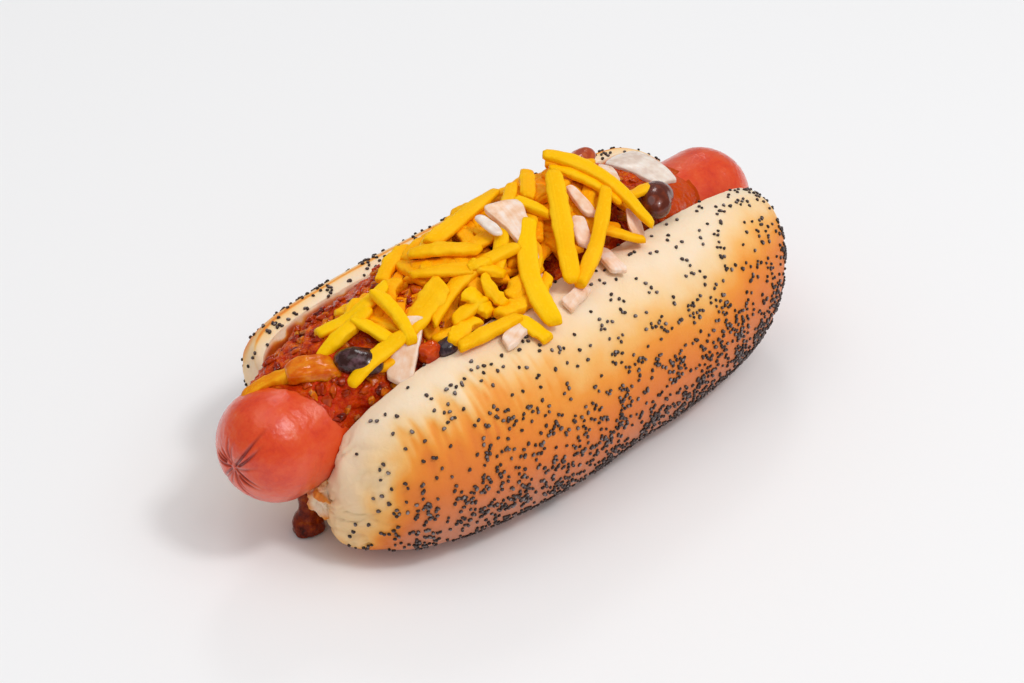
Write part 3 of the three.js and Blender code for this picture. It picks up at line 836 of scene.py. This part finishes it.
# Cooked bean skin: a thin taut hull, nearly black with purple or brown in it, and glossy where sauce wets it.
for bean in BEANS:
    skin, tree, where = new_material(bean.node + " cooked skin")
    speckle = add_node(
        tree, "ShaderNodeTexNoise", values={"Scale": 1 / (1.6 * MM), "Detail": 4}, links={"Vector": where}
    )
    speckle_share = add_node(
        tree, "ShaderNodeValToRGB", links={"Fac": speckle}, stops=[(0.46, 0), (0.7, 0.9)]
    )
    skin_colour = add_node(
        tree,
        "ShaderNodeMixRGB",
        values={"Color1": hex_colour(bean.colour), "Color2": hex_colour(bean.light)},
        links={"Fac": speckle_share},
    )
    skin_bump = add_node(
        tree,
        "ShaderNodeBump",
        values={"Strength": 1.6 * bean.dents, "Distance": 0.4 * MM},
        links={"Height": speckle},
    )
    finish_material(
        tree,
        values={"Roughness": 0.24, "IOR": 1.42, "Coat Weight": 0.35, "Coat Roughness": 0.06},
        links={"Base Color": skin_colour, "Normal": skin_bump},
    )
    shape = bmesh.new()
    bmesh.ops.create_uvsphere(shape, u_segments=64, v_segments=48, radius=1)
    bmesh.ops.rotate(shape, matrix=Matrix.Rotation(math.pi / 2, 3, "Y"), verts=shape.verts)
    centre, turn = heap_place(bean)
    for vert in shape.verts:
        x, y, z = vert.co
        eye = 0.14 * math.exp(-(x * x) / 0.12) * smooth_step(y, -0.4, -1)
        y = y * (1 + 0.04 * x) + eye
        local = Vector((x * bean.half[0], y * bean.half[1], z * bean.half[2]))
        dent = noise.noise(local / 2.6 + Vector((centre.x, 0, 0)))
        local += vert.co * (bean.dents * dent + 0.06 * noise.noise(local / 0.9))
        vert.co = turn @ local + centre
    finish_piece(bean.node + "_skin", shape, skin, [bean.node])

# The tomato
# Soft chunks of stewed tomato, orange and translucent with sauce.
Tomato = namedtuple("Tomato", "node at half turn lift dark light")
TOMATOES = [
    Tomato("tomato_1", (-59.5, -1.5), (6.2, 3.3, 1.8), -35, -1.3, "#cc5a04", "#e08010"),
    Tomato("tomato_2", (-40, -16.5), (2.6, 2, 2.2), 0, -2, "#a82a08", "#cc4a0c"),
]
for tomato in TOMATOES:
    flesh, tree, where = new_material(tomato.node + " stewed flesh")
    pulp = add_node(
        tree, "ShaderNodeTexNoise", values={"Scale": 1 / (2.2 * MM), "Detail": 4}, links={"Vector": where}
    )
    flesh_colour = add_node(
        tree, "ShaderNodeValToRGB", links={"Fac": pulp}, stops=[(0.35, tomato.dark), (0.62, tomato.light)]
    )
    flesh_bump = add_node(
        tree, "ShaderNodeBump", values={"Strength": 0.4, "Distance": 0.4 * MM}, links={"Height": pulp}
    )
    finish_material(
        tree,
        values={
            "Roughness": 0.14,
            "IOR": 1.36,
            "Subsurface Weight": 0.5,
            "Subsurface Radius": (1.0, 0.45, 0.06),
            "Subsurface Scale": 2.5 * MM,
        },
        links={"Base Color": flesh_colour, "Normal": flesh_bump},
    )
    shape = rounded_block(19, 4.2)
    centre, turn = heap_place(tomato)
    for vert in shape.verts:
        local = Vector([c * h for c, h in zip(vert.co, tomato.half)])
        local += vert.co * (0.5 * noise.noise(local / 4) + 0.16 * noise.noise(local / 1.2))
        local.z -= 0.03 * local.x * local.x
        vert.co = turn @ local + centre
    finish_piece(tomato.node + "_chunk", shape, flesh, [tomato.node])

# The onion
# Raw white onion, chopped: each flake is a slice of one layer, hollowed as it grew, with sharp cut edges.
ONION_THICKNESS = 1.5
ONION_CURVE = 0.02
SHARP_FLAKE = [(-0.56, -0.06), (0.42, -0.5), (0.5, 0.44), (-0.5, 0.14)]
LONG_FLAKE = [(-0.5, -0.34), (0.5, -0.24), (0.42, 0.3), (-0.44, 0.46)]
LEAF_FLAKE = [(-0.52, -0.16), (0.46, -0.42), (0.52, 0.12), (-0.3, 0.48)]
SLAB_FLAKE = [(-0.5, -0.4), (0.46, -0.5), (0.5, 0.34), (-0.4, 0.48)]
BROAD_FLAKE = [(-0.5, -0.26), (0.48, -0.4), (0.5, 0.58), (-0.4, 0.36)]
GREYER_ONIONS = (2, 8)
Onion = namedtuple("Onion", "at size turn lift corners square")
ONIONS = [
    Onion((-5, -8), (16, 10), 75, 0.2, SHARP_FLAKE, 9),
    Onion((-10.5, -5), (8, 4.5), 100, 1, LEAF_FLAKE, 2.6),
    Onion((-43.5, -13.5), (13, 7.4), 28, -0.5, LONG_FLAKE, 8),
    Onion((13, -11), (9, 4.4), 95, -1, LEAF_FLAKE, 5),
    Onion((7.5, -16), (6.5, 4), 60, -0.5, SLAB_FLAKE, 4),
    Onion((9, -23.5), (11, 6), 80, -1, LEAF_FLAKE, 6),
    Onion((22, -19.5), (7, 4.5), 60, -1.5, SLAB_FLAKE, 4),
    Onion((46.5, -1.5), (17, 11.5), 88, -0.2, BROAD_FLAKE, 6),
    Onion((-10, -19.5), (7, 3.6), 50, -1, SHARP_FLAKE, 5),
    Onion((-25.5, -27.5), (8, 4.6), 15, -0.9, LEAF_FLAKE, 6),
    Onion((-6, -27.5), (9, 4.4), 10, -0.9, LONG_FLAKE, 6),
    Onion((29, -5), (7, 5), 60, -2, SLAB_FLAKE, 5),
]

# Onion flesh: wet and translucent, white with a pink cast, with fine veins along each layer.
onion_flesh, tree, where = new_material("raw onion flesh")
across = add_node(tree, "ShaderNodeAttribute", {"attribute_name": "across"}).outputs["Fac"]
stripe = add_node(
    tree, "ShaderNodeTexNoise", {"noise_dimensions": "1D"}, {"Scale": 1 / 0.8, "Detail": 3}, {"W": across}
)
cloud = add_node(
    tree, "ShaderNodeTexNoise", values={"Scale": 1 / (2.6 * MM), "Detail": 4}, links={"Vector": where}
)
veins = add_node(tree, "ShaderNodeMixRGB", values={"Fac": 0.2}, links={"Color1": cloud, "Color2": stripe})
onion_colour = add_node(
    tree,
    "ShaderNodeValToRGB",
    links={"Fac": veins},
    stops=[(0.36, "#e6b893"), (0.5, "#eecbb0"), (0.64, "#f1ddd0")],
)
onion_bump = add_node(
    tree, "ShaderNodeBump", values={"Strength": 0.2, "Distance": 0.15 * MM}, links={"Height": stripe}
)
finish_material(
    tree,
    values={
        "Roughness": 0.25,
        "IOR": 1.36,
        "Subsurface Weight": 0.3,
        "Subsurface Radius": (1.0, 0.8, 0.6),
        "Subsurface Scale": 1.2 * MM,
    },
    links={"Base Color": onion_colour, "Normal": onion_bump},
)
greyer_onion = recoloured(onion_flesh, "raw white onion flesh", ("#d9c3b4", "#e6d6c9", "#efe6dd"))
for number, onion in enumerate(ONIONS, 1):
    shape = rounded_block(17, onion.square)
    across_layer = shape.verts.layers.float.new("across")
    x0, y0 = onion.at
    long, wide = onion.size
    slope_x = (heap_top(x0 + 1, y0) - heap_top(x0 - 1, y0)) / 2
    slope_y = (heap_top(x0, y0 + 1) - heap_top(x0, y0 - 1)) / 2
    base = heap_top(x0, y0) + onion.lift - ONION_THICKNESS / 2
    turn = Matrix.Rotation(math.radians(onion.turn), 3, "Z")
    for vert in shape.verts:
        u, v, w = vert.co
        corners = [Vector(corner) for corner in onion.corners]
        near_side = corners[0].lerp(corners[1], (u + 1) / 2)
        far_side = corners[3].lerp(corners[2], (u + 1) / 2)
        spot = near_side.lerp(far_side, (v + 1) / 2)
        local = turn @ Vector((spot.x * long, spot.y * wide, 0))
        ragged = noise.noise_vector(local / 3 + Vector((number, 0, 0)))
        local += 0.35 * Vector((ragged.x, ragged.y, 0))
        cup = ONION_CURVE * (local.x**2 + local.y**2)
        z = base + w * ONION_THICKNESS / 2 + slope_x * local.x + slope_y * local.y - cup
        vert.co = Vector((x0 + local.x, y0 + local.y, z))
        vert[across_layer] = spot.y * wide + 20 * number
    flesh = greyer_onion if number in GREYER_ONIONS else onion_flesh
    finish_piece(f"onion_{number}_flake", shape, flesh, [f"onion_{number}"])

# The cheese
# Yellow cheddar, coarsely shredded, strewn over the chili while the shreds were cool, so they keep their
# bends. Each shred is a long sphere pressed to a flat bar that follows the heap, and the shreds under the top
# ones are strewn at random. Some in the middle of the heap are torn, with edges ragged by torn millimetres.
Shred = namedtuple("Shred", "start end width lift bow torn", defaults=(0, 0, 0))
SHREDS = [
    Shred((-22, 2), (3, 6), 4.2),
    Shred((-27, 4), (-16, -8), 4.2, 0.5),
    Shred((-31, -1), (-21, -10), 3.8),
    Shred((-36, -13), (-9, -12), 3.9, 1, 3),
    Shred((-2, -9), (-17, -31), 4.7, 1.5, -2.5),
    Shred((12, -3), (-6, -26), 4.5, 2.5),
    Shred((19, -13), (-5, -27), 3.5, 2, 1),
    Shred((15, 3), (23, -24), 3.9, 3, 3),
    Shred((14, 0), (21, -16), 2.8, 1, 1),
    Shred((11, -17), (20, -24), 3.2, 0.5),
    Shred((25, -14), (37, -12), 3),
    Shred((6, 4), (-3, -3), 3.2),
    Shred((12, 5), (4, -3), 3.7),
    Shred((1, -2), (4, -10), 3, 0.5),
    Shred((-9, 9), (-5, 5), 3.8),
    Shred((-28, -8), (-42, -11), 6),
    Shred((-53, 5), (-36, 1), 3.7, 0.5, -2),
    Shred((-57, 0), (-43, -1), 3.7),
    Shred((-47, 0), (-45, -12), 3.2, 1),
    Shred((-41, 0), (-43, -14), 3, 2, 1),
    Shred((-58, -11), (-43, -12), 4.2, 1.9, 1),
    Shred((-37, -22), (-22, -25), 3.4, 0.5),
    Shred((-22, -24), (-20, -32), 3.8),
    Shred((-38, -15), (-30, -18), 3.4),
    Shred((-19, -20), (-5, -15), 2.8, bow=-1),
    Shred((-32, -15), (-23, -16), 3.4),
    Shred((-34, 5), (-22, 9), 3.6, -1, 1),
    Shred((-13, 10), (6, 10), 3.6, -2, -1),
    Shred((-16, -13), (-6, -5), 3.4, -0.5),
    Shred((18, 5), (30, 0), 3.4, -1),
]
TORN_SHREDS = [
    Shred((-26, -13), (-24.5, -19), 4.6, 0.4, 0.6, torn=0.6),
    Shred((-20.5, -13), (-20.5, -20), 3.2, 0.9, -0.8, torn=0.5),
    Shred((-24, -20.5), (-13, -20), 4.6, 0, -0.8, torn=0.6),
    Shred((-18.5, -19), (-7.5, -17), 3.8, 0.3, 1, torn=0.5),
    Shred((-15, -14.5), (-20.5, -9), 3.4, 0, 0.6, torn=0.4),
    Shred((-12.5, -22.5), (-6.5, -19), 2.8, torn=0.4),
    Shred((-36.5, -19.5), (-27.5, -18), 3.8, 0.4, 0.8, torn=0.5),
    Shred((-16, -11), (-22, -9.5), 3, 0.2, torn=0.4),
    Shred((-48, 1), (-42, 4), 3, -0.6, torn=0.4),
]
LOOSE_SHRED = Shred((-73, 7), (-61, -1), 3.6, 0.6, 1)
SHRED_LAYERS = ("edge_highlight", "tone", "across", "sunk_shade")
UNDER_COUNT = 120
UNDER_X = (-48, 26)
UNDER_Y = (-19, 10)
UNDER_NEAREST, UNDER_FARTHEST = -52, 29
UNDER_MIDDLE, UNDER_HALF_WIDTH = -4, 15
HEIGHT_STEPS = 8
SECTION_SQUARE = 3.8
TORN_SHARE = 0.35
shred_random = random.Random(8)
shred_walk, shred_along = even_places(20, 4, 16)


def add_shred(whole, shred):
    """Adds one shred of cheese: a flat bar that follows the heap from end to end and bends sideways."""
    bar = bmesh.new()
    edge_highlight_layer, tone_layer, across_layer, sunk_shade_layer = [
        bar.verts.layers.float.new(layer) for layer in SHRED_LAYERS
    ]
    start, end = Vector(shred.start), Vector(shred.end)
    direction = (end - start).normalized()
    sideways = Vector((-direction.y, direction.x))
    low, high = heap_top(*start), heap_top(*end)
    taper = shred_random.uniform(0.0, 0.35), shred_random.uniform(0.0, 0.25)
    slant = shred_random.uniform(-0.5, 0.5), shred_random.uniform(-0.5, 0.5)
    twist = shred_random.uniform(-0.35, 0.35)
    thickness = SHRED_THICKNESS * shred_random.uniform(0.6, 0.85)
    blunt = shred_random.choice([5, 8, 16])
    cut_edge = shred_random.choice([0.1, 0.14, 0.3])
    torn_edge = shred.torn or cut_edge
    torn_all_over = TORN_SHARE if shred.torn else 0
    tone = shred_random.random()
    offset = Vector((shred_random.uniform(0, 90), 0, 0))
    heights = []
    for i in range(HEIGHT_STEPS + 1):
        share = i / HEIGHT_STEPS
        chord = low * (1 - share) + high * share
        line = start.lerp(end, share)
        heights.append(chord + 0.5 * (heap_top(*line) - chord) + shred.lift - SHRED_THICKNESS / 2)
    bmesh.ops.create_uvsphere(bar, u_segments=20, v_segments=30, radius=1)
    for vert in bar.verts:
        ring = ring_share(vert)
        along = float(np.interp(ring, shred_walk, shred_along))
        share = (along + 1) / 2
        closing = (1 - abs(along) ** blunt) ** (1 / blunt)
        closing *= 1 - taper[0] * smooth_step(share, 0.35, 0) - taper[1] * smooth_step(share, 0.7, 1)
        closing *= 1 + 0.16 * noise.noise(Vector((share * 4, 0, 0)) + offset)
        turn = math.atan2(vert.co.y, vert.co.x)
        across = squared(math.cos(turn), SECTION_SQUARE) * closing
        up = squared(math.sin(turn), SECTION_SQUARE) * closing
        wide = across * shred.width / 2
        thick = up * thickness / 2 * (1 - 0.25 * across * across)
        roll = twist * (share - 0.5) * 2
        y = wide * math.cos(roll) - thick * math.sin(roll)
        z = wide * math.sin(roll) + thick * math.cos(roll)
        slide = slant[0] * y * smooth_step(share, 0.2, 0) + slant[1] * y * smooth_step(share, 0.8, 1)
        line = start.lerp(end, share) + direction * slide
        line += sideways * (shred.bow * 4 * share * (1 - share) + y)
        height = float(np.interp(share, np.linspace(0, 1, HEIGHT_STEPS + 1), heights))
        place = Vector((line.x, line.y, height + z))
        rough = noise.noise_vector(place / 1.5 + offset)
        ragged = torn_all_over + (1 - torn_all_over) * abs(across) ** 3
        vert.co = place + (0.08 + torn_edge * ragged) * rough
        # Painted highlight: the rounded edges of the section are marked for a paler colour.
        vert[edge_highlight_layer] = smooth_step(abs(across) + abs(up), 1.35, 1.75)
        vert[tone_layer] = tone
        vert[across_layer] = wide + 10 * tone
        # Painted shade: the deeper a place lies under the top of the heap, the more orange it is painted.
        vert[sunk_shade_layer] = smooth_step(heap_top(line.x, line.y) - vert.co.z, 0.6, 5)
    add_shape(whole, bar)


def cheese_bmesh():
    """An empty bmesh with the layers that the cheese material reads."""
    whole = bmesh.new()
    for layer in (*SHRED_LAYERS, "nook_painted_glow"):
        whole.verts.layers.float.new(layer)
    return whole


cheese = cheese_bmesh()
for shred in SHREDS + TORN_SHREDS:
    add_shred(cheese, shred)
placed_shreds = 0
while placed_shreds < UNDER_COUNT:
    x = shred_random.uniform(*UNDER_X)
    y = shred_random.uniform(*UNDER_Y)
    turn = shred_random.uniform(0, math.pi)
    half = shred_random.uniform(3, 8)
    reach = Vector((math.cos(turn), math.sin(turn))) * half
    lift = -1.6 - 1.9 * (placed_shreds % 2) - shred_random.uniform(0, 0.8)
    too_wide = abs(y - UNDER_MIDDLE) + abs(reach.y) > UNDER_HALF_WIDTH
    if x - reach.x < UNDER_NEAREST or too_wide or x + abs(reach.x) > UNDER_FARTHEST:
        continue
    width, bow = shred_random.uniform(2.8, 5.2), shred_random.uniform(-1.5, 1.5)
    add_shred(cheese, Shred((x - reach.x, y - reach.y), (x + reach.x, y + reach.y), width, lift, bow))
    placed_shreds += 1

# Where its neighbours close a place in, the cheese is painted a brighter orange: painted light that stands in
# for light gone through more of the waxy cheese, lifting the shade in the crevices. Each place looks out
# along rings of ways to the sky, given by their tips from upright.
LOOKOUT_TIPS = (0.3, 0.75, 1.2)
LOOKOUT_REACH = 9
LOOKOUTS = [
    Vector((math.cos(turn) * math.sin(tip), math.sin(turn) * math.sin(tip), math.cos(tip)))
    for tip in LOOKOUT_TIPS
    for turn in [math.tau * k / 3 + tip for k in range(3)]
]
cheese.normal_update()
cheese_tree = BVHTree.FromBMesh(cheese)
nook_painted_glow_layer = cheese.verts.layers.float["nook_painted_glow"]
for vert in cheese.verts:
    vert[nook_painted_glow_layer] = 1
    if vert.normal.z > -0.3:
        start = vert.co + 0.15 * vert.normal
        shut = sum(1 for way in LOOKOUTS if cheese_tree.ray_cast(start, way, LOOKOUT_REACH)[0])
        vert[nook_painted_glow_layer] = shut / len(LOOKOUTS)

# Cheddar: waxy and slightly translucent, strong yellow, with a painted highlight along the rounded edges of
# each shred and a few pale flecks.
cheddar, tree, where = new_material("shredded cheddar")
edge_highlight, tone, across, sunk_shade, nook_painted_glow = [
    add_node(tree, "ShaderNodeAttribute", {"attribute_name": layer}).outputs["Fac"]
    for layer in (*SHRED_LAYERS, "nook_painted_glow")
]
shred_tone_colour = add_node(
    tree,
    "ShaderNodeValToRGB",
    links={"Fac": tone},
    stops=[(0, "#f4ae00"), (0.6, "#f6b800"), (1, "#f8c400")],
)
# Painted shade: deeper shreds are mixed toward a darker orange.
tone_and_sunk_shade_colour = add_node(
    tree,
    "ShaderNodeMixRGB",
    values={"Color2": hex_colour("#f59600")},
    links={"Fac": sunk_shade, "Color1": shred_tone_colour},
)
# Painted light: the enclosed nooks of the heap are mixed toward a brighter orange.
painted_glow_share = add_node(tree, "ShaderNodeMath", {"operation": "MULTIPLY"}, {1: 0.8}, {0: nook_painted_glow})
painted_glow_colour = add_node(
    tree,
    "ShaderNodeMixRGB",
    values={"Color2": hex_colour("#ffa000")},
    links={"Fac": painted_glow_share, "Color1": tone_and_sunk_shade_colour},
)
fleck_noise = add_node(
    tree, "ShaderNodeTexNoise", values={"Scale": 1 / (0.7 * MM), "Detail": 2}, links={"Vector": where}
)
fleck = add_node(tree, "ShaderNodeValToRGB", links={"Fac": fleck_noise}, stops=[(0.56, 0), (0.7, 1)])
# Painted highlight along the edges, together with random pale flecks.
edge_highlight_and_fleck = add_node(tree, "ShaderNodeMath", {"operation": "ADD", "use_clamp": True}, links={0: edge_highlight, 1: fleck})
edge_highlight_and_fleck_share = add_node(tree, "ShaderNodeMath", {"operation": "MULTIPLY"}, {1: 0.35}, {0: edge_highlight_and_fleck})
cheese_colour = add_node(
    tree,
    "ShaderNodeMixRGB",
    values={"Color2": hex_colour("#fdce28")},
    links={"Fac": edge_highlight_and_fleck_share, "Color1": painted_glow_colour},
)
curd = add_node(
    tree,
    "ShaderNodeTexNoise",
    values={"Scale": 1 / (1.3 * MM), "Detail": 4, "Roughness": 0.6},
    links={"Vector": where},
)
grater = add_node(
    tree, "ShaderNodeTexNoise", {"noise_dimensions": "1D"}, {"Scale": 1 / 0.7, "Detail": 2}, {"W": across}
)
curd_bump = add_node(
    tree, "ShaderNodeBump", values={"Strength": 0.5, "Distance": 0.3 * MM}, links={"Height": curd}
)
grater_bump = add_node(
    tree,
    "ShaderNodeBump",
    values={"Strength": 0.5, "Distance": 0.25 * MM},
    links={"Height": grater, "Normal": curd_bump},
)
finish_material(
    tree,
    values={
        "Roughness": 0.45,
        "IOR": 1.44,
        "Specular IOR Level": 0.08,
        "Subsurface Weight": 0.1,
        "Subsurface Radius": (1.0, 0.8, 0.1),
        "Subsurface Scale": 0.6 * MM,
    },
    links={"Base Color": cheese_colour, "Normal": grater_bump},
)
finish_piece("cheese_shreds", cheese, cheddar, ["cheese"])

# One shred fell on the sausage at the near end, where the sauce has wetted and darkened it.
loose = cheese_bmesh()
add_shred(loose, LOOSE_SHRED)
wet_cheddar = recoloured(cheddar, "cheddar wetted with sauce", ["#e08206"] * 3)
finish_piece("cheese_loose_shred", loose, wet_cheddar, ["cheese_loose"])

# The table, the light and the camera
# A plain white table under soft studio light from above, seen from the near corner of the bun.
floor_shape = bmesh.new()
bmesh.ops.create_grid(floor_shape, x_segments=1, y_segments=1, size=3)
floor_mesh = bpy.data.meshes.new("table_top")
floor_shape.to_mesh(floor_mesh)
floor_shape.free()
paper, tree, _ = new_material("white table paper")
finish_material(tree, values={"Base Color": hex_colour("#eeeeef"), "Roughness": 0.9}, links={})
floor_mesh.materials.append(paper)
table = bpy.data.objects.new("table_top", floor_mesh)
bpy.context.collection.objects.link(table)

world = bpy.data.worlds.new("studio")
world.use_nodes = True
world.node_tree.nodes["Background"].inputs["Color"].default_value = (1, 1, 1, 1)
# Polished reflections see a darker studio, so the wet sauce keeps its depth of colour.
mirrored = add_node(world.node_tree, "ShaderNodeLightPath").outputs["Is Glossy Ray"]
sky = add_node(
    world.node_tree, "ShaderNodeMath", {"operation": "MULTIPLY_ADD"}, {1: -0.35, 2: 0.55}, {0: mirrored}
)
world.node_tree.links.new(sky.outputs[0], world.node_tree.nodes["Background"].inputs["Strength"])
bpy.context.scene.world = world


def add_softbox(name, place, target, size, power):
    """A square soft light at a place in metres, turned to its target."""
    light = bpy.data.lights.new(name, "AREA")
    light.size = size
    light.energy = power
    box = bpy.data.objects.new(name, light)
    box.location = place
    box.rotation_euler = (Vector(target) - Vector(place)).to_track_quat("-Z", "Y").to_euler()
    bpy.context.collection.objects.link(box)


# The key is a wide softbox with a bright core, which gives the wet sauce and the sausage their glints.
add_softbox("key", (0.2, -0.78, 1.33), (-0.02, 0, 0.02), 1, 5)
add_softbox("key_core", (0.2, -0.78, 1.3), (-0.02, 0, 0.02), 0.24, 5.5)
add_softbox("back", (0.85, 0.85, 1.2), (0, 0, 0.02), 0.3, 2.2)
add_softbox("overhead", (-0.3, 0.3, 1.4), (0, 0, 0.02), 0.9, 2.8)

camera_data = bpy.data.cameras.new("photo")
camera_data.lens = 70.72
camera_data.sensor_width = 36
camera = bpy.data.objects.new("photo", camera_data)
camera.location = (-0.2781, -0.2702, 0.2893)
camera.rotation_euler = (math.radians(55), 0, math.radians(-46.018))
bpy.context.collection.objects.link(camera)
bpy.context.scene.camera = camera
bpy.context.scene.view_settings.view_transform = "Standard"
